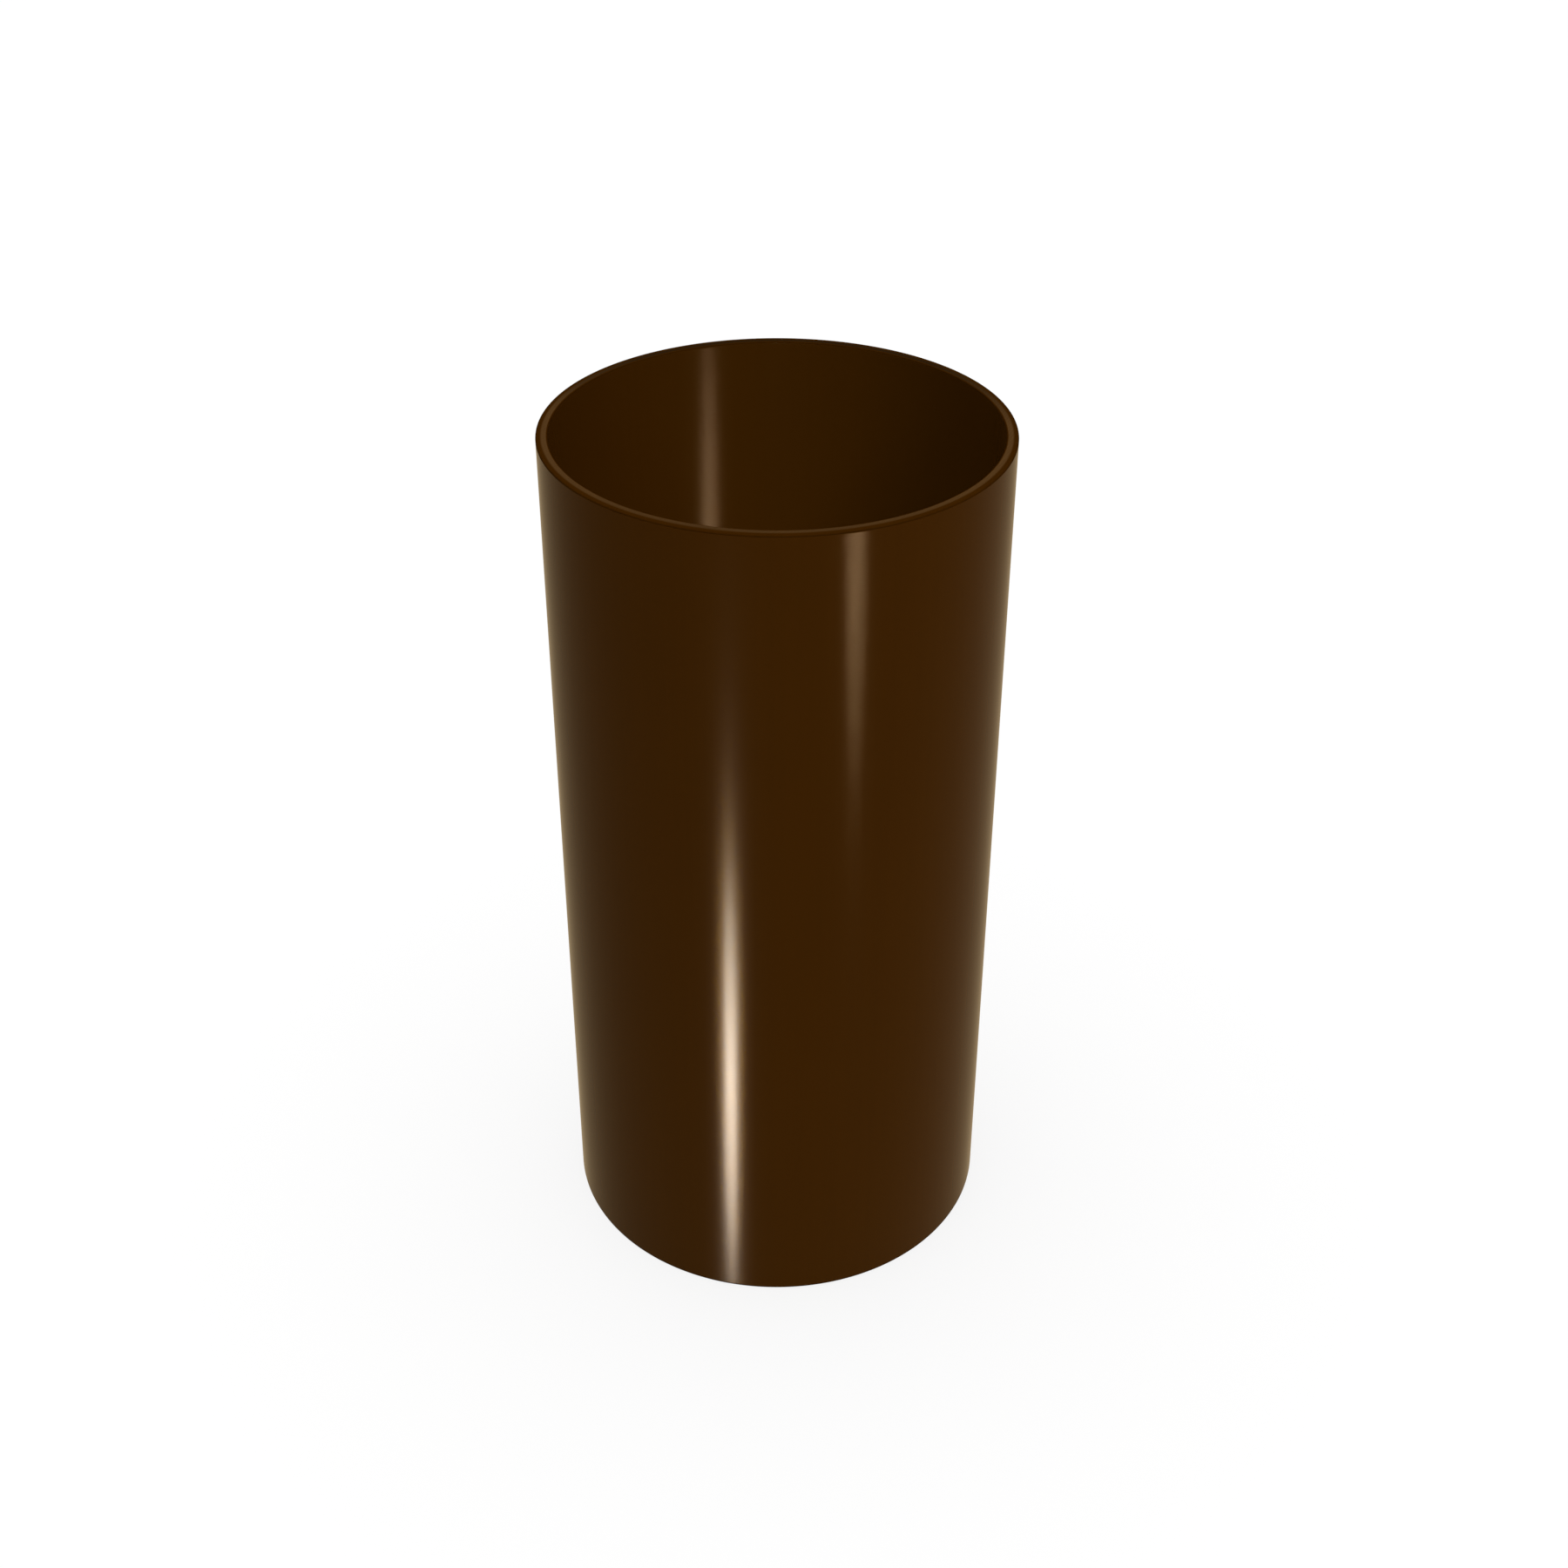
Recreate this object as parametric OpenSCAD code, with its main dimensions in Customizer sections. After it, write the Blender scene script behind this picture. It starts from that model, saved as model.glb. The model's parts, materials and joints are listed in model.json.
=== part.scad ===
// Round downspout pipe: one straight length of extruded plastic pipe, sawn square at both ends,
// with the burr taken off its four edges. It stands on one end, its axis rising from the origin.

/* [Pipe] */
// Outside diameter, which sockets and pipe clips fit
outside_diameter = 100; // [50:0.5:200]
// Thickness of the wall
wall_thickness = 2.5; // [1.6:0.1:6]
// Length from end to end
pipe_length = 200; // [50:1:4000]

/* [Sawn ends] */
// Radius that deburring leaves on the outer edge of each end
outer_edge_radius = 0.4; // [0.1:0.05:0.8]
// Radius that deburring leaves on the inner edge of each end
inner_edge_radius = 0.3; // [0.1:0.05:0.6]

/* [Hidden] */

outside_radius = outside_diameter / 2;
bore_radius = outside_radius - wall_thickness;

// How far a cut reaches past the face that it cuts
overrun = 1;
$fn = 180;

// What deburring takes off a square edge at the origin, where the wall fills the +X +Y quarter
module burr(edge_radius) {
    difference() {
        translate([-overrun, -overrun])
            square(edge_radius + overrun);
        translate([edge_radius, edge_radius])
            circle(edge_radius);
    }
}

// The two burrs of one end, with the sawn face along the X axis and the wall above it
module end_burrs() {
    translate([bore_radius, 0])
        burr(inner_edge_radius);
    translate([outside_radius, 0])
        mirror([1, 0])
            burr(outer_edge_radius);
}

// Half section of the pipe, beside its axis: the extruded wall less the burrs of both ends
module wall_section() {
    difference() {
        translate([bore_radius, 0])
            square([wall_thickness, pipe_length]);
        end_burrs();
        translate([0, pipe_length])
            mirror([0, 1])
                end_burrs();
    }
}

// The whole pipe: the wall's section turned round the axis
module pipe() {
    color("#381d04")
        rotate_extrude()
            wall_section();
}

pipe();
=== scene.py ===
# %% [markdown]
# # A length of brown downspout pipe
#
# This lesson dresses one plain object: a short length of round plastic rainwater pipe, standing on
# its end. A simple shape leaves nothing to hide behind, so the work is in three things: a true
# section with softly broken edges, finishes that differ between the skin, the bore and the sawn
# ends, and lamps that draw the long streaks by which the eye reads gloss.
#
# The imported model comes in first. It is the fixed frame: it says how big the pipe is and where it
# stands, and nothing below moves it or changes its size.

# %% Load the frame
import json
import math
import bpy
from mathutils import Matrix, Vector


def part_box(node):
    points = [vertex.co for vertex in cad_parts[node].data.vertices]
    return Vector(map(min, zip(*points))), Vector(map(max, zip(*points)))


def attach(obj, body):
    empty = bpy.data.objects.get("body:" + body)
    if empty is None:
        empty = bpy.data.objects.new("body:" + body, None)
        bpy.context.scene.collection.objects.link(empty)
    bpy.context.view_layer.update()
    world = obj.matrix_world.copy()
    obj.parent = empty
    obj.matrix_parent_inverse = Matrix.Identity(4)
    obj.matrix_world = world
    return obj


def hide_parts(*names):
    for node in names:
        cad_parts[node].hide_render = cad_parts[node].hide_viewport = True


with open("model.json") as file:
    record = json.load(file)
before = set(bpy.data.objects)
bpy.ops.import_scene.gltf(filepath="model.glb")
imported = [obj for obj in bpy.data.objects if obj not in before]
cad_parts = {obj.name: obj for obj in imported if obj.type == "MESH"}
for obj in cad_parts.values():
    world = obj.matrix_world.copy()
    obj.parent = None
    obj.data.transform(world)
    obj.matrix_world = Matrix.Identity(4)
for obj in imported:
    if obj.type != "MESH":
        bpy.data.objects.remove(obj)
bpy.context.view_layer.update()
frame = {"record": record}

MM = 0.001  # the scene is in metres, and a pipe's sizes are spoken of in millimetres
scene = bpy.context.scene

# %% [markdown]
# ## Sizes from the frame
#
# A dressed piece that repeats its own sizes can drift away from the part it dresses. So every size
# here is read from the frame. The node's box gives the length. The record's mounts give the outside
# and the bore, and how far the straight walls run. What is missing at each end of a straight wall is
# the radius that deburring left on that edge.

# %% Read the pipe's sizes
pipe_low, pipe_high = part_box("pipe")
mounts = {mount["name"]: mount["dims"] for mount in frame["record"]["mounts"]}

pipe_length = pipe_high.z - pipe_low.z
outside_radius = mounts["outside"]["r_mm"] * MM
bore_radius = mounts["bore"]["r_mm"] * MM
outer_edge_radius = (pipe_length - mounts["outside"]["length_mm"] * MM) / 2
inner_edge_radius = (pipe_length - mounts["bore"]["length_mm"] * MM) / 2

wall_thickness = outside_radius - bore_radius
middle_radius = (outside_radius + bore_radius) / 2

print(f"length {pipe_length / MM:.1f} mm, outside radius {outside_radius / MM:.1f} mm")
print(f"wall {wall_thickness / MM:.2f} mm")
print(f"edge radii {outer_edge_radius / MM:.2f} mm outside and {inner_edge_radius / MM:.2f} mm inside")

# %% [markdown]
# ## A helper for node trees
#
# Shaders and Geometry Nodes are both trees of nodes, and both are built the same way from Python:
# add a node, set its fields, and link an output to an input. One helper does all three. Its keyword
# arguments set the node's own fields, and the dictionary fills its inputs: a value that is a socket
# is linked, and any other value is written into the input.

# %% Helpers that add nodes
def add_node(tree, kind, inputs=None, **fields):
    node = tree.nodes.new(kind)
    for name, value in fields.items():
        setattr(node, name, value)
    for name, value in (inputs or {}).items():
        if isinstance(value, bpy.types.NodeSocket):
            tree.links.new(value, node.inputs[name])
        else:
            node.inputs[name].default_value = value
    return node


def math_node(tree, operation, first, second=0.0):
    node = add_node(tree, "ShaderNodeMath", {0: first, 1: second}, operation=operation)
    return node.outputs[0]


# %% [markdown]
# ## The camera
#
# The photograph looks down at the pipe from about half a metre away. Fitting the ellipse of the rim,
# the sides and the curve of the bottom gives one place and one lens that explain them all. The tiny
# roll is in the photograph too.

# %% Place the camera
camera_lens = 48.613  # millimetres, as Blender gives lens and sensor
sensor_width = 36.0
nearest_seen = 10 * MM
camera_place = Vector((1.608, -407.850, 378.965)) * MM
camera_pitch_down = math.radians(33.256)
camera_roll = math.radians(0.162)

camera_data = bpy.data.cameras.new("camera")
camera_data.lens = camera_lens
camera_data.sensor_width = sensor_width
camera_data.clip_start = nearest_seen
camera = bpy.data.objects.new("camera", camera_data)
camera.matrix_world = (
    Matrix.Translation(camera_place)
    @ Matrix.Rotation(math.pi / 2 - camera_pitch_down, 4, "X")
    @ Matrix.Rotation(camera_roll, 4, "Z")
)
scene.collection.objects.link(camera)
scene.camera = camera
scene.view_settings.view_transform = "Standard"
print(f"camera {camera_place.length / MM:.0f} mm from the pipe's foot, lens {camera_lens} mm")

# %% [markdown]
# ## Marks that the making leaves
#
# No moulded or extruded plastic is one flat colour. An extruder's die draws faint lines along a pipe,
# because a speck on its lip drags a groove in all that passes. The melt is never mixed quite evenly,
# so the brown drifts a little from place to place. Both are noise in the pipe's own coordinates. For
# the die lines the noise is squeezed around the pipe and stretched along it.
#
# An image could hold these marks too, but it would need a UV map, and its grain would be fixed. Noise
# in Object coordinates needs neither, and it does not slide when the camera moves.

# %% Noise in the pipe's own coordinates
def new_material(name):
    material = bpy.data.materials.new(name)
    material.use_nodes = True
    material.node_tree.nodes.clear()
    return material


def noise(tree, across, along, detail=2.0):
    """Noise from 0 to 1, its grain as wide as across and as tall as along, in metres."""
    place = add_node(tree, "ShaderNodeTexCoord").outputs["Object"]
    squeezed = add_node(tree, "ShaderNodeMapping", {
        "Vector": place,
        "Scale": (1 / across, 1 / across, 1 / along),
    })
    grain = add_node(tree, "ShaderNodeTexNoise", {
        "Vector": squeezed.outputs["Vector"],
        "Scale": 1.0,
        "Detail": detail,
    })
    return grain.outputs["Fac"]


def spread(tree, source, low, high):
    """Noise keeps near its middle, so its middle half is spread over the whole range."""
    ranged = add_node(tree, "ShaderNodeMapRange", {
        "Value": source,
        "From Min": 0.25,
        "From Max": 0.75,
        "To Min": low,
        "To Max": high,
    })
    return ranged.outputs["Result"]


def level_round_one(tree, source, swing):
    return spread(tree, source, 1 - swing, 1 + swing)


def tinted(tree, brown, level):
    """The brown, made lighter or darker by a level around 1."""
    scaled = add_node(tree, "ShaderNodeVectorMath", {"Vector": brown, "Scale": level}, operation="SCALE")
    return scaled.outputs["Vector"]


# %% [markdown]
# ## The skin and the bore
#
# Rigid PVC leaves the extruder with a dense, glossy skin over a deep brown body. The Principled
# shader has both: its base is the body, and its coat is the skin, a thin clear layer with a gloss of
# its own. The photograph shows almost no gloss where the wall faces the camera and a pale sheen where
# it turns away, so the coat bends light very little and the body has no shine of its own.
#
# The bore is the same plastic. It cooled without touching a sizing sleeve, so it is a little duller.
# Its brown is painted a little lighter and yellower than the body's, as light shows it in the bore.
# Both skins have the die lines and the drift, and long shallow waves from the pull that hauled the
# pipe off the extruder.

# %% Finish of the skin and the bore
BODY_BROWN = (0.0401, 0.0121, 0.0001)
# The bore's brown is the body's, painted a little lighter and yellower as light shows it inside.
BORE_BROWN_WITH_PAINTED_LIGHT = (0.0412, 0.0135, 0.0006)
COAT_WEIGHT = 0.56
COAT_BEND = 1.126
OUTER_COAT_ROUGHNESS = 0.142
BORE_COAT_ROUGHNESS = 0.158
BODY_ROUGHNESS = (0.3, 0.4)
DIE_LINE_SWING = 0.015
DRIFT_SWING = 0.02

die_line_width = 1.4 * MM
die_line_length = 160 * MM
die_line_depth = 0.002 * MM
drift_width = 24 * MM
drift_length = 40 * MM
wave_width = 14 * MM
wave_length = 60 * MM
wave_depth = 0.01 * MM


def skin_finish(name, brown, coat_roughness):
    material = new_material(name)
    tree = material.node_tree
    die_lines = noise(tree, die_line_width, die_line_length)
    drift = noise(tree, drift_width, drift_length)
    waves = noise(tree, wave_width, wave_length, detail=0.0)
    line_level = level_round_one(tree, die_lines, DIE_LINE_SWING)
    drift_level = level_round_one(tree, drift, DRIFT_SWING)
    lined = add_node(tree, "ShaderNodeBump", {
        "Height": die_lines,
        "Distance": die_line_depth,
        "Strength": 1.0,
    })
    waved = add_node(tree, "ShaderNodeBump", {
        "Height": waves,
        "Distance": wave_depth,
        "Strength": 1.0,
        "Normal": lined.outputs["Normal"],
    })
    shader = add_node(tree, "ShaderNodeBsdfPrincipled", {
        "Base Color": tinted(tree, brown, math_node(tree, "MULTIPLY", line_level, drift_level)),
        "Roughness": spread(tree, drift, *BODY_ROUGHNESS),
        "Specular IOR Level": 0.0,
        "Normal": waved.outputs["Normal"],
        "Coat Weight": COAT_WEIGHT,
        "Coat IOR": COAT_BEND,
        "Coat Roughness": coat_roughness,
        "Coat Normal": waved.outputs["Normal"],
    })
    add_node(tree, "ShaderNodeOutputMaterial", {"Surface": shader.outputs["BSDF"]})
    return material


outer_skin = skin_finish("outer_skin", BODY_BROWN, OUTER_COAT_ROUGHNESS)
bore_skin = skin_finish("bore_skin", BORE_BROWN_WITH_PAINTED_LIGHT, BORE_COAT_ROUGHNESS)
print("finishes:", outer_skin.name, bore_skin.name)

# %% [markdown]
# ## The sawn ends and their edges
#
# A saw cuts through the skin, so an end shows the body itself: dull, and paler where the teeth tore
# it. A round blade leaves arcs about its own far centre, one for each tooth that passed. The distance
# from that centre, put through a sine, draws them, and a little noise keeps them from being perfect.
# A Color Ramp over the depth of the cut paints shade into the end, as light falls on the rim: it is
# darkest at the far side and a little dark at the near side.
#
# A deburring tool then runs round both edges and breaks them to a narrow round, which has no skin.
# The rounds and a band about a millimetre wide at the outside of the end are painted dark as shade,
# so a dark line runs on each side of the cut. The rounds are faces of their own and get a finish of
# their own, but the dark band fades into the cut, so it is mixed into the sawn end by its distance
# from the axis.

# %% Finish of the sawn ends and the broken edges
SAWN_BROWN = (0.0412, 0.0189, 0.0057)
# The edge brown is painted shade: the dark of the broken edges and of a ring at the outside of the end.
EDGE_SHADE_BROWN = (0.0203, 0.0064, 0.0003)
# These levels paint shade over the depth of the cut: darkest at the far side, a little dark at the near
# side.
PAINTED_SHADE_LEVELS = {0.0: 0.77, 0.3: 0.97, 0.55: 1.0, 0.7: 0.58, 0.87: 0.28}
DULL_ROUGHNESS = (0.5, 0.65)
MARK_SWING = 0.05
PATCH_SWING = 0.04

# The way across the end along which the painted shade runs.
shade_direction = (0.07, 1.0, 0.0)
blade_centre = (-140 * MM, 90 * MM, 0.0)
tooth_pitch = 0.7 * MM
wander_width = 6 * MM
scratch_width = 0.8 * MM
scratch_height = 0.3 * MM
patch_width = 9 * MM
mark_depth = 0.01 * MM
# Width of the ring of painted shade at the outside of the end, and how softly it fades.
dark_ring_width = 1.1 * MM
dark_ring_fade = 0.4 * MM


def distance_across(tree, place, centre=(0.0, 0.0, 0.0)):
    """How far a place lies from an upright line through the centre."""
    flattened = add_node(tree, "ShaderNodeVectorMath", {
        0: place,
        1: (1.0, 1.0, 0.0),
    }, operation="MULTIPLY")
    reach = add_node(tree, "ShaderNodeVectorMath", {
        0: flattened.outputs["Vector"],
        1: centre,
    }, operation="DISTANCE")
    return reach.outputs["Value"]


def saw_arcs(tree):
    place = add_node(tree, "ShaderNodeTexCoord").outputs["Object"]
    reach = distance_across(tree, place, blade_centre)
    wander = spread(tree, noise(tree, wander_width, wander_width), -tooth_pitch, tooth_pitch)
    turns = math_node(tree, "MULTIPLY", math_node(tree, "ADD", reach, wander), 2 * math.pi / tooth_pitch)
    wave = math_node(tree, "SINE", turns)
    return add_node(tree, "ShaderNodeMapRange", {"Value": wave, "From Min": -1.0}).outputs["Result"]


def painted_shade_by_depth(tree):
    """How lit the end is painted, by depth across the cut: 0 at the near side and 1 at the far side."""
    place = add_node(tree, "ShaderNodeTexCoord").outputs["Object"]
    along = add_node(tree, "ShaderNodeVectorMath", {0: place, 1: shade_direction}, operation="DOT_PRODUCT")
    depth = add_node(tree, "ShaderNodeMapRange", {
        "Value": along.outputs["Value"],
        "From Min": -outside_radius,
        "From Max": outside_radius,
    })
    ramp = add_node(tree, "ShaderNodeValToRGB", {"Fac": depth.outputs["Result"]})
    stops = ramp.color_ramp.elements
    stops.remove(stops[1])
    for place_on_ramp, level in PAINTED_SHADE_LEVELS.items():
        stop = stops[0] if place_on_ramp == 0.0 else stops.new(place_on_ramp)
        stop.color = (level, level, level, 1.0)
    return ramp.outputs["Color"]


def sawn_and_shaded_brown(tree):
    place = add_node(tree, "ShaderNodeTexCoord").outputs["Object"]
    # A ring of painted shade at the outside of the end.
    dark_ring = add_node(tree, "ShaderNodeMapRange", {
        "Value": distance_across(tree, place),
        "From Min": outside_radius - dark_ring_width - dark_ring_fade / 2,
        "From Max": outside_radius - dark_ring_width + dark_ring_fade / 2,
    }).outputs["Result"]
    # Painted shade over the depth of the cut.
    shaded_cut_brown = tinted(tree, SAWN_BROWN, painted_shade_by_depth(tree))
    dark_ring_brown = (*EDGE_SHADE_BROWN, 1.0)
    # A Mix node has sockets for numbers, vectors and colours: 0 is the factor, 6 and 7 are the colours
    browns = add_node(tree, "ShaderNodeMix", {0: dark_ring, 6: shaded_cut_brown, 7: dark_ring_brown}, data_type="RGBA")
    return browns.outputs[2]


def edge_shade_brown(tree):
    return EDGE_SHADE_BROWN


def scratches(tree):
    return noise(tree, scratch_width, scratch_height)


def dull_finish(name, brown_of, marks_of):
    material = new_material(name)
    tree = material.node_tree
    marks = marks_of(tree)
    patches = noise(tree, patch_width, patch_width)
    mark_level = level_round_one(tree, marks, MARK_SWING)
    patch_level = level_round_one(tree, patches, PATCH_SWING)
    bump = add_node(tree, "ShaderNodeBump", {"Height": marks, "Distance": mark_depth, "Strength": 1.0})
    shader = add_node(tree, "ShaderNodeBsdfPrincipled", {
        "Base Color": tinted(tree, brown_of(tree), math_node(tree, "MULTIPLY", mark_level, patch_level)),
        "Roughness": spread(tree, patches, *DULL_ROUGHNESS),
        "Specular IOR Level": 0.0,
        "Normal": bump.outputs["Normal"],
    })
    add_node(tree, "ShaderNodeOutputMaterial", {"Surface": shader.outputs["BSDF"]})
    return material


# The sawn end's brown holds painted shade, and the broken edge's brown is all painted shade.
sawn_end = dull_finish("sawn_end", sawn_and_shaded_brown, saw_arcs)
shaded_broken_edge = dull_finish("shaded_broken_edge", edge_shade_brown, scratches)
print("finishes:", sawn_end.name, shaded_broken_edge.name)

# %% [markdown]
# ## The pipe
#
# An extruder makes a pipe by pushing plastic through a ring, so its shape is one section carried
# round an axis. Geometry Nodes can say just that: a rectangle as wide as the wall and as tall as the
# pipe, its four corners filleted, swept round a circle.
#
# A smooth-shaded mesh blends its normals over each face. On a wall with no edges between its ends,
# the blend would carry the bend of the rounded edges along the whole pipe and spoil the streaks of
# light. So each side of the rectangle is cut twice first, and the cuts on the long sides slide close
# to the corners, where they become loops that keep the walls straight in the light.

# %% Nodes of the wall's section
SWEEP_INPUTS = {
    "Middle Radius": "NodeSocketFloat",
    "Wall Thickness": "NodeSocketFloat",
    "Length": "NodeSocketFloat",
    "Outer Edge Radius": "NodeSocketFloat",
    "Inner Edge Radius": "NodeSocketFloat",
    "Loop Distance": "NodeSocketFloat",
    "Steps Around": "NodeSocketInt",
    "Steps On Edge": "NodeSocketInt",
    "Outer Skin": "NodeSocketMaterial",
    "Bore Skin": "NodeSocketMaterial",
    "Sawn End": "NodeSocketMaterial",
    "Shaded Broken Edge": "NodeSocketMaterial",
}


ALMOST = 0.999  # keeps a test for the largest value safe from rounding


def section_nodes(tree, given):
    """The wall's section: X runs across the wall, outwards, and Y runs along the pipe."""
    rectangle = add_node(tree, "GeometryNodeCurvePrimitiveQuadrilateral", {
        "Width": given["Wall Thickness"],
        "Height": given["Length"],
    })
    cut = add_node(tree, "GeometryNodeSubdivideCurve", {"Curve": rectangle.outputs["Curve"], "Cuts": 2})

    place = add_node(tree, "GeometryNodeInputPosition").outputs["Position"]
    axes = add_node(tree, "ShaderNodeSeparateXYZ", {"Vector": place}).outputs
    half_length = math_node(tree, "MULTIPLY", given["Length"], 0.5)
    height = math_node(tree, "ABSOLUTE", axes["Y"])
    loop_height = math_node(tree, "SUBTRACT", half_length, given["Loop Distance"])
    slid_height = math_node(tree, "MULTIPLY", math_node(tree, "SIGN", axes["Y"]), loop_height)
    slid_place = add_node(tree, "ShaderNodeCombineXYZ", {"X": axes["X"], "Y": slid_height})
    looped = add_node(tree, "GeometryNodeSetPosition", {
        "Geometry": cut.outputs["Curve"],
        "Selection": math_node(tree, "LESS_THAN", height, loop_height),
        "Position": slid_place.outputs["Vector"],
    })

    # Only the four corners lie both at an end and at a side, so only they get a radius
    half_wall = math_node(tree, "MULTIPLY", given["Wall Thickness"], 0.5)
    almost_half_length = math_node(tree, "MULTIPLY", half_length, ALMOST)
    almost_half_wall = math_node(tree, "MULTIPLY", half_wall, ALMOST)
    at_end = math_node(tree, "GREATER_THAN", height, almost_half_length)
    at_side = math_node(tree, "GREATER_THAN", math_node(tree, "ABSOLUTE", axes["X"]), almost_half_wall)
    side_radius = add_node(tree, "GeometryNodeSwitch", {
        "Switch": math_node(tree, "GREATER_THAN", axes["X"], 0.0),
        "False": given["Inner Edge Radius"],
        "True": given["Outer Edge Radius"],
    }, input_type="FLOAT").outputs["Output"]
    rounded = add_node(tree, "GeometryNodeFilletCurve", {
        "Curve": looped.outputs["Geometry"],
        "Count": given["Steps On Edge"],
        "Radius": math_node(tree, "MULTIPLY", side_radius, math_node(tree, "MULTIPLY", at_end, at_side)),
    }, mode="POLY")
    return rounded.outputs["Curve"]


# %% [markdown]
# ## Dressing the pipe by its own shape
#
# The finish of each face follows from where it is and which way it looks. A face that looks straight
# up or down is a sawn end. One that leans is a broken edge. Of the upright ones, those inside the
# middle of the wall are the bore. So the tree can choose by itself, and the choice still holds when a
# size changes.

# %% Nodes that dress the faces
LEAST_LEAN = 0.05  # how far a broken edge's normal rises at the least: 0 is upright wall, 1 is level


def dressed_nodes(tree, given, mesh):
    normal = add_node(tree, "GeometryNodeInputNormal").outputs["Normal"]
    slope = add_node(tree, "ShaderNodeSeparateXYZ", {"Vector": normal}).outputs["Z"]
    lean = math_node(tree, "ABSOLUTE", slope)
    place = add_node(tree, "GeometryNodeInputPosition").outputs["Position"]

    everywhere = True
    leans = math_node(tree, "GREATER_THAN", lean, LEAST_LEAN)
    inside = math_node(tree, "LESS_THAN", distance_across(tree, place), given["Middle Radius"])
    looks_along = math_node(tree, "GREATER_THAN", lean, ALMOST)
    for where, finish in (
        (everywhere, "Outer Skin"),
        (inside, "Bore Skin"),
        (leans, "Shaded Broken Edge"),
        (looks_along, "Sawn End"),
    ):
        mesh = add_node(tree, "GeometryNodeSetMaterial", {
            "Geometry": mesh,
            "Selection": where,
            "Material": given[finish],
        }).outputs["Geometry"]
    return mesh


# %% [markdown]
# ## The whole tree
#
# The path is a circle through the middle of the wall. Curve to Mesh stands the section's Y along the
# pipe and turns its X outwards, so the swept wall only has to be lifted onto the table.

# %% Tree of the swept pipe
def swept_pipe_tree():
    tree = bpy.data.node_groups.new("swept_pipe", "GeometryNodeTree")
    identifiers = {}
    for name, kind in SWEEP_INPUTS.items():
        socket = tree.interface.new_socket(name, in_out="INPUT", socket_type=kind)
        identifiers[name] = socket.identifier
    tree.interface.new_socket("Geometry", in_out="OUTPUT", socket_type="NodeSocketGeometry")
    given = add_node(tree, "NodeGroupInput").outputs

    path = add_node(tree, "GeometryNodeCurvePrimitiveCircle", {
        "Resolution": given["Steps Around"],
        "Radius": given["Middle Radius"],
    })
    swept = add_node(tree, "GeometryNodeCurveToMesh", {
        "Curve": path.outputs["Curve"],
        "Profile Curve": section_nodes(tree, given),
    })
    half_length = math_node(tree, "MULTIPLY", given["Length"], 0.5)
    lift = add_node(tree, "ShaderNodeCombineXYZ", {"Z": half_length})
    stood = add_node(tree, "GeometryNodeTransform", {
        "Geometry": swept.outputs["Mesh"],
        "Translation": lift.outputs["Vector"],
    })
    smooth = add_node(tree, "GeometryNodeSetShadeSmooth", {"Geometry": stood.outputs["Geometry"]})
    realized = add_node(tree, "GeometryNodeRealizeInstances", {"Geometry": smooth.outputs["Geometry"]})
    dressed = dressed_nodes(tree, given, realized.outputs["Geometry"])
    add_node(tree, "NodeGroupOutput", {"Geometry": dressed})
    return tree, identifiers


# %% [markdown]
# ## From tree to plain mesh
#
# A modifier runs the tree. Its inputs are set by the sockets' identifiers before anything is
# evaluated. The evaluated result is then copied to a plain mesh and the modifier is taken away, so
# the piece that is left is a plain mesh, not a tree.

# %% Sweep the pipe
steps_around = 288
steps_on_edge = 6
loop_distance = 1.5 * outer_edge_radius


def mesh_from_tree(name, tree, identifiers, values):
    holder = bpy.data.objects.new(name, bpy.data.meshes.new(name))
    scene.collection.objects.link(holder)
    modifier = holder.modifiers.new("sweep", "NODES")
    modifier.node_group = tree
    for label, value in values.items():
        modifier[identifiers[label]] = value
    evaluated = holder.evaluated_get(bpy.context.evaluated_depsgraph_get())
    mesh = bpy.data.meshes.new_from_object(evaluated)
    holder.modifiers.remove(modifier)
    mesh.name = name
    holder.data = mesh
    return holder


sweep_tree, sweep_identifiers = swept_pipe_tree()
downspout = mesh_from_tree("downspout_pipe", sweep_tree, sweep_identifiers, {
    "Middle Radius": middle_radius,
    "Wall Thickness": wall_thickness,
    "Length": pipe_length,
    "Outer Edge Radius": outer_edge_radius,
    "Inner Edge Radius": inner_edge_radius,
    "Loop Distance": loop_distance,
    "Steps Around": steps_around,
    "Steps On Edge": steps_on_edge,
    "Outer Skin": outer_skin,
    "Bore Skin": bore_skin,
    "Sawn End": sawn_end,
    "Shaded Broken Edge": shaded_broken_edge,
})
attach(downspout, "root")
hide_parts("pipe")
print(len(downspout.data.polygons), "faces,", [finish.name for finish in downspout.data.materials])

# %% [markdown]
# ## The table
#
# The pipe stands alone on white. A plain white table would throw so much light up the wall that the
# brown would look chalky, so the table tells rays apart. To a ray that shows it, from the camera or
# out of a gloss, most of its white is its own glow, and the rest is light that the pipe can shade, so
# a soft shadow stays around the foot. To a ray that only carries light, it is a grey card.

# %% Table
TABLE_GREY = (0.30, 0.30, 0.30, 1.0)
TABLE_SHADED = (0.22, 0.22, 0.22, 1.0)
TABLE_GLOW = 0.79
table_width = 20.0


def flat_piece(name, width, height, material):
    half = width / 2
    corners = [(-half, -half, height), (half, -half, height), (half, half, height), (-half, half, height)]
    mesh = bpy.data.meshes.new(name)
    mesh.from_pydata(corners, [], [(0, 1, 2, 3)])
    mesh.materials.append(material)
    piece = bpy.data.objects.new(name, mesh)
    scene.collection.objects.link(piece)
    return piece


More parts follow.
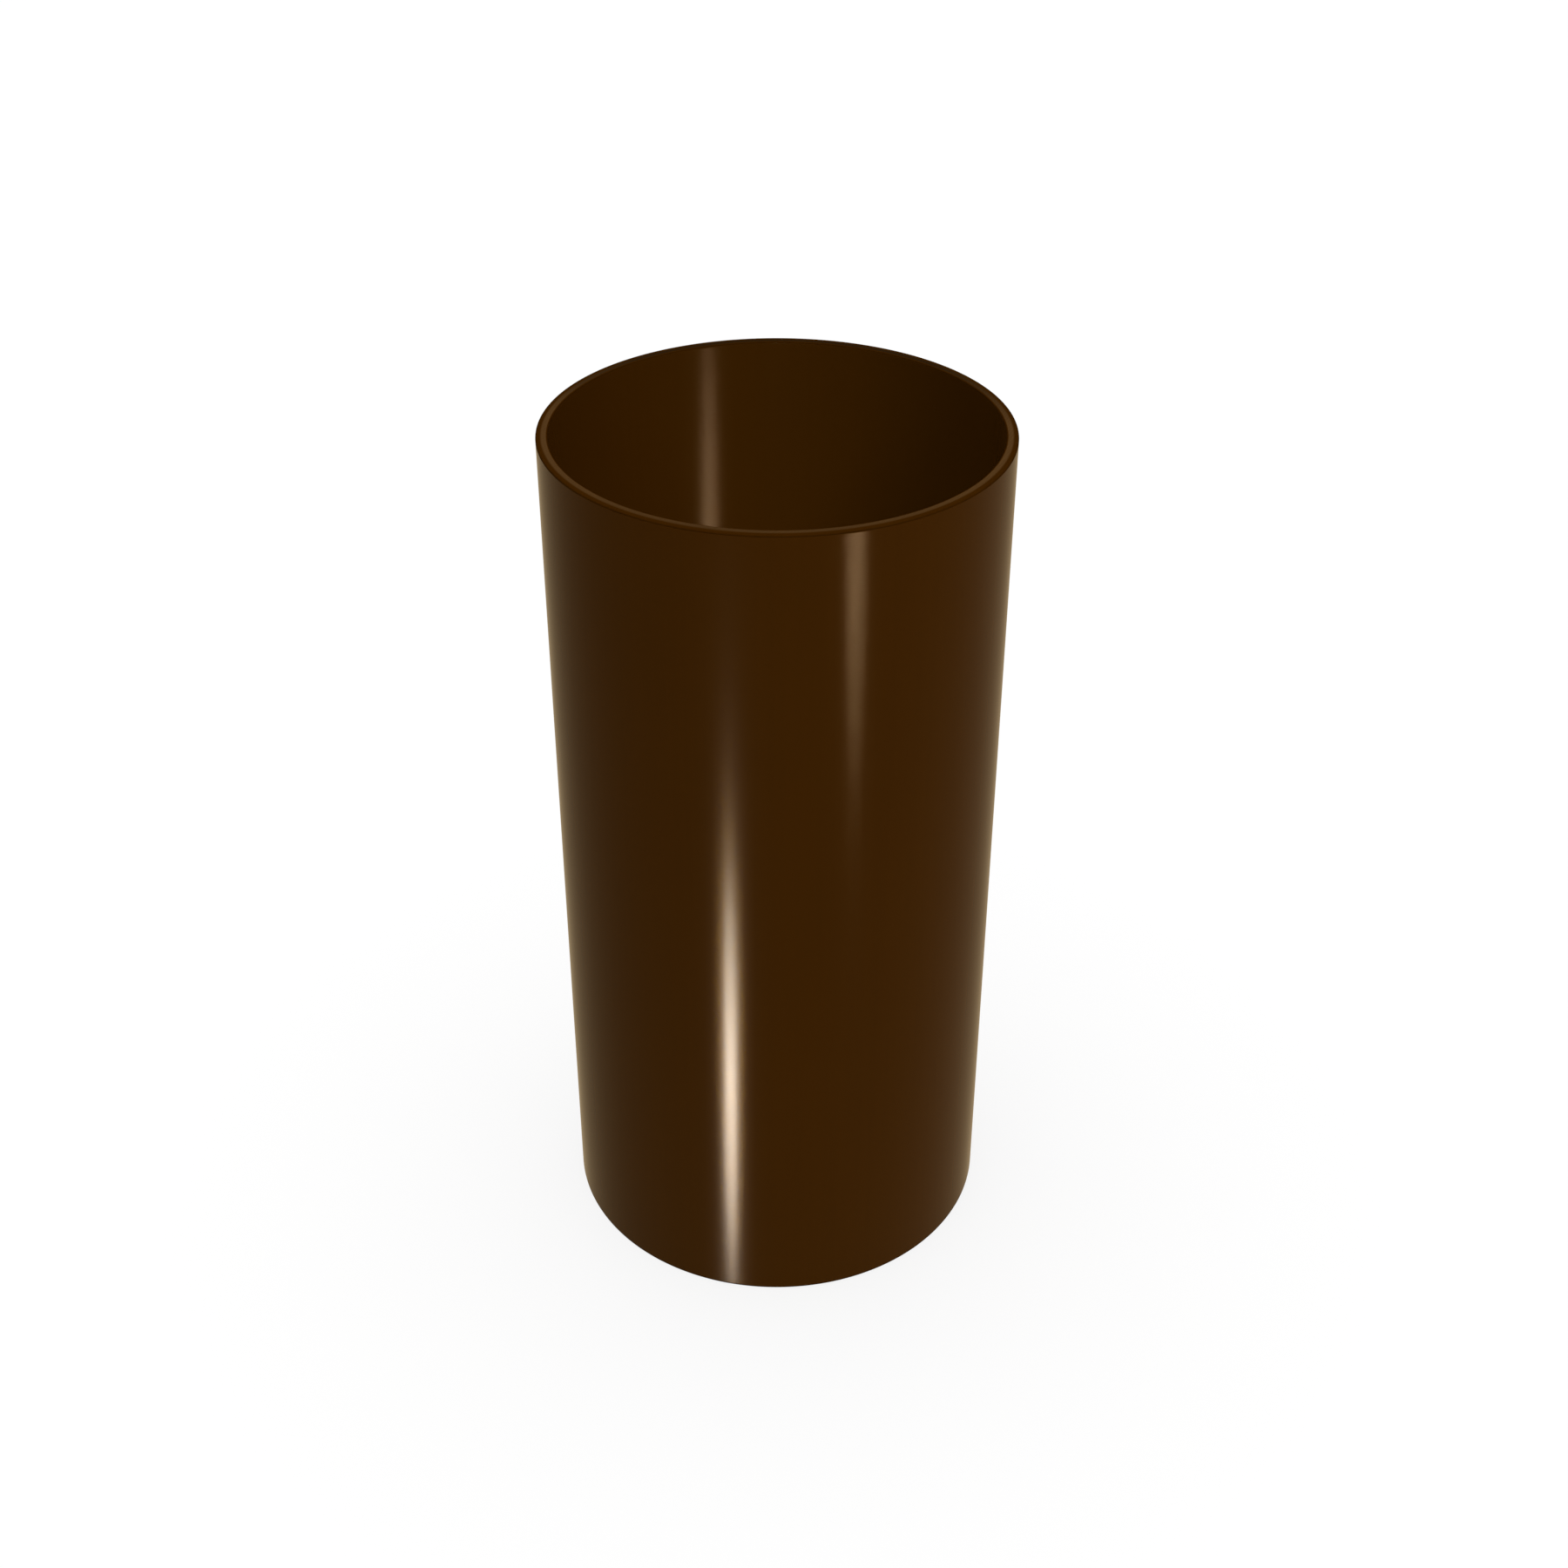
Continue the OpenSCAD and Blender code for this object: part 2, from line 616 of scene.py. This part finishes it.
def seen_factor(tree):
    """1 for rays that show a surface, directly or in a gloss, and 0 for rays that only carry light."""
    path = add_node(tree, "ShaderNodeLightPath").outputs
    shown = math_node(tree, "MAXIMUM", path["Is Camera Ray"], path["Is Glossy Ray"])
    return math_node(tree, "MAXIMUM", shown, path["Is Transmission Ray"])


def table_finish():
    material = new_material("white_table")
    tree = material.node_tree
    seen = seen_factor(tree)
    card = add_node(tree, "ShaderNodeMix", {0: seen, 6: TABLE_GREY, 7: TABLE_SHADED}, data_type="RGBA")
    diffuse = add_node(tree, "ShaderNodeBsdfDiffuse", {"Color": card.outputs[2]})
    glow = add_node(tree, "ShaderNodeEmission", {"Strength": math_node(tree, "MULTIPLY", seen, TABLE_GLOW)})
    both = add_node(tree, "ShaderNodeAddShader", {0: diffuse.outputs["BSDF"], 1: glow.outputs["Emission"]})
    add_node(tree, "ShaderNodeOutputMaterial", {"Surface": both.outputs["Shader"]})
    return material


table = flat_piece("table", table_width, 0.0, table_finish())
print(f"table {table_width:.0f} m wide")

# %% [markdown]
# ## The world
#
# The same trick keeps the background white. Where it is seen, the world has a strength of 1, which is
# white. As a light it is far weaker, because the lamps do that work.

# %% World
WORLD_LEVEL = 0.08


def white_world():
    world = bpy.data.worlds.new("studio")
    world.use_nodes = True
    tree = world.node_tree
    tree.nodes.clear()
    strength = math_node(tree, "MAXIMUM", seen_factor(tree), WORLD_LEVEL)
    background = add_node(tree, "ShaderNodeBackground", {
        "Color": (1.0, 1.0, 1.0, 1.0),
        "Strength": strength,
    })
    add_node(tree, "ShaderNodeOutputWorld", {"Surface": background.outputs["Background"]})
    return world


scene.world = white_world()
print("world level", WORLD_LEVEL)

# %% [markdown]
# ## Lamps that light the brown
#
# A Sun of strength pi lights a surface that faces it to just its own colour, so levels here are
# shares of that. An overhead softbox lights the table and the rim, and its wide spread keeps the
# shadow round the foot soft. The others are aimed at the pipe alone by light linking, which is
# Blender's way of saying which objects a lamp lights and which ones cast its shadows. So they shape
# the round wall and fall into the bore, and leave no second shadow on the table.

# %% Lamps for the body
WHITE = (1.0, 1.0, 1.0)
OVERHEAD_SPREAD = 70  # degrees that a lamp fills of the sky
BODY_SPREAD = 20

only_pipe = bpy.data.collections.new("only_pipe")
only_pipe.objects.link(downspout)


def sun(name, azimuth, elevation, strength, spread_angle, colour=WHITE):
    """A Sun seen from the pipe at these angles: azimuth 0 is the camera's side, 90 is to its right."""
    light = bpy.data.lights.new(name, "SUN")
    light.energy = strength
    light.color = colour
    light.angle = math.radians(spread_angle)
    turn = math.radians(azimuth)
    rise = math.radians(elevation)
    towards = Vector((
        math.sin(turn) * math.cos(rise),
        -math.cos(turn) * math.cos(rise),
        math.sin(rise),
    ))
    lamp = bpy.data.objects.new(name, light)
    lamp.location = towards
    lamp.rotation_euler = towards.to_track_quat("Z", "Y").to_euler()
    scene.collection.objects.link(lamp)
    return lamp


def pipe_sun(name, azimuth, elevation, level, colour=WHITE):
    lamp = sun(name, azimuth, elevation, math.pi * level, BODY_SPREAD, colour)
    lamp.light_linking.receiver_collection = only_pipe
    lamp.light_linking.blocker_collection = only_pipe
    lamp.visible_glossy = False
    return lamp


overhead = sun("overhead", 0, 90, math.pi * (1 - WORLD_LEVEL), OVERHEAD_SPREAD)
overhead.light_linking.blocker_collection = only_pipe
overhead.visible_glossy = False
pipe_sun("key", azimuth=41, elevation=49, level=0.76)
pipe_sun("fill", azimuth=-36, elevation=50, level=0.43, colour=(0.93, 1.05, 1.0))
pipe_sun("right_side", azimuth=113, elevation=-8, level=0.37)
pipe_sun("left_side", azimuth=-107, elevation=-8, level=0.18)
pipe_sun("back", azimuth=190, elevation=20, level=0.5)

# %% [markdown]
# ## Flags
#
# The streaks need strong lamps, and a gloss is far stronger where the wall turns away. There the same
# lamps would burn white edges into other views. A photographer holds a black card, called a flag,
# between a lamp and what it should not reach. Two upright flags leave each lamp a slit to the wall
# that faces it. They are hidden from every ray but the ones that cast shadows.

# %% Flags beside a lamp's beam
slit_half_width = 0.55 * outside_radius
flag_edge = 1.5 * outside_radius
flag_distance = 2 * outside_radius


def show_to(piece, glossy, shadow):
    """Hides a piece of the studio from all rays but the ones named here."""
    piece.visible_camera = False
    piece.visible_diffuse = False
    piece.visible_transmission = False
    piece.visible_glossy = glossy
    piece.visible_shadow = shadow


def flag_pair(name, azimuth):
    turn = math.radians(azimuth)
    towards = Vector((math.sin(turn), -math.cos(turn), 0.0))
    across = Vector((math.cos(turn), math.sin(turn), 0.0))
    vertices = []
    for side in (-1, 1):
        for reach in (slit_half_width, flag_edge):
            foot = towards * flag_distance + across * side * reach
            for height in (-pipe_length, pipe_length):
                vertices.append(foot + Vector((0.0, 0.0, height)))
    left_flag = (0, 1, 3, 2)
    right_flag = (4, 5, 7, 6)
    mesh = bpy.data.meshes.new(name)
    mesh.from_pydata(vertices, [], [left_flag, right_flag])
    pair = bpy.data.objects.new(name, mesh)
    scene.collection.objects.link(pair)
    show_to(pair, glossy=False, shadow=True)
    return pair


print(f"slit {2 * slit_half_width / MM:.0f} mm wide")

# %% [markdown]
# ## What only the gloss sees
#
# An upright wall mirrors a ray without changing its slope. The camera looks down, so all that the
# wall can show of the studio lies below the horizon, where the table is. Small lamps down there draw
# the streaks. The table casts no shadow for them, so it does not stop them, and they light no colour.
# A ray that leaves the gloss would find the table first and miss them, so they are found by light
# sampling alone, without the second method that Cycles would mix in.
#
# Each streak in the photograph is taller than a round lamp would draw, so it is made by two, one above
# the other. The bright one on the left has a warm halo as well, and the pipe itself keeps that light
# out of the bore. The lamps on the right pass through the wall, and draw the streak in the bore too.
# Four faint lamps, a quarter turn apart, give the other sides of the pipe a streak.

# %% Lamps for the streaks
def streak_sun(name, azimuth, elevation, strength, spread_angle, colour):
    lamp = sun(name, azimuth, elevation, strength, spread_angle, colour)
    lamp.data.cycles.use_multiple_importance_sampling = False
    lamp.visible_diffuse = False
    blockers = bpy.data.collections.new(name + "_blockers")
    blockers.objects.link(flag_pair(name + "_flags", azimuth))
    lamp.light_linking.blocker_collection = blockers
    return lamp


# After each name: azimuth, elevation, strength, spread angle in degrees, colour
left_lamps = (
    streak_sun("left_streak_low", -25.5, -42.4, 1.70, 5.4, (1.0, 0.84, 0.68)),
    streak_sun("left_streak_high", -24.7, -39.4, 1.68, 5.6, (1.0, 0.88, 0.72)),
    streak_sun("left_streak_halo", -24.9, -39.9, 1.26, 10.8, (1.0, 0.45, 0.0)),
)
for left_lamp in left_lamps:
    left_lamp.light_linking.blocker_collection.objects.link(downspout)
streak_sun("right_streak_low", 39.0, -28.6, 0.44, 7.8, (1.0, 0.64, 0.32))
streak_sun("right_streak_high", 36.6, -25.6, 0.66, 7.8, (1.0, 0.60, 0.32))
for quarter in (0, 90, 180, 270):
    streak_sun(f"faint_streak_{quarter}", quarter, -10.5, 0.40, 8, (1.0, 0.74, 0.5))

# %% [markdown]
# ## A warm card on the table
#
# Towards its sides the wall turns away from the camera and mirrors the table more and more. In the
# photograph that sheen is a warm grey, not white. So a tan card lies on the table, a hair above it,
# and only a gloss shows it.

# %% Warm card
CARD_TAN = (1.0, 0.77, 0.45, 1.0)
card_height = 0.3 * MM


def glowing_finish(name, colour):
    material = new_material(name)
    tree = material.node_tree
    glow = add_node(tree, "ShaderNodeEmission", {"Color": colour, "Strength": 1.0})
    add_node(tree, "ShaderNodeOutputMaterial", {"Surface": glow.outputs["Emission"]})
    material.cycles.emission_sampling = "NONE"
    return material


card = flat_piece("warm_card", table_width, card_height, glowing_finish("tan_card", CARD_TAN))
show_to(card, glossy=True, shadow=False)
print(f"warm card {card_height / MM:.1f} mm above the table")
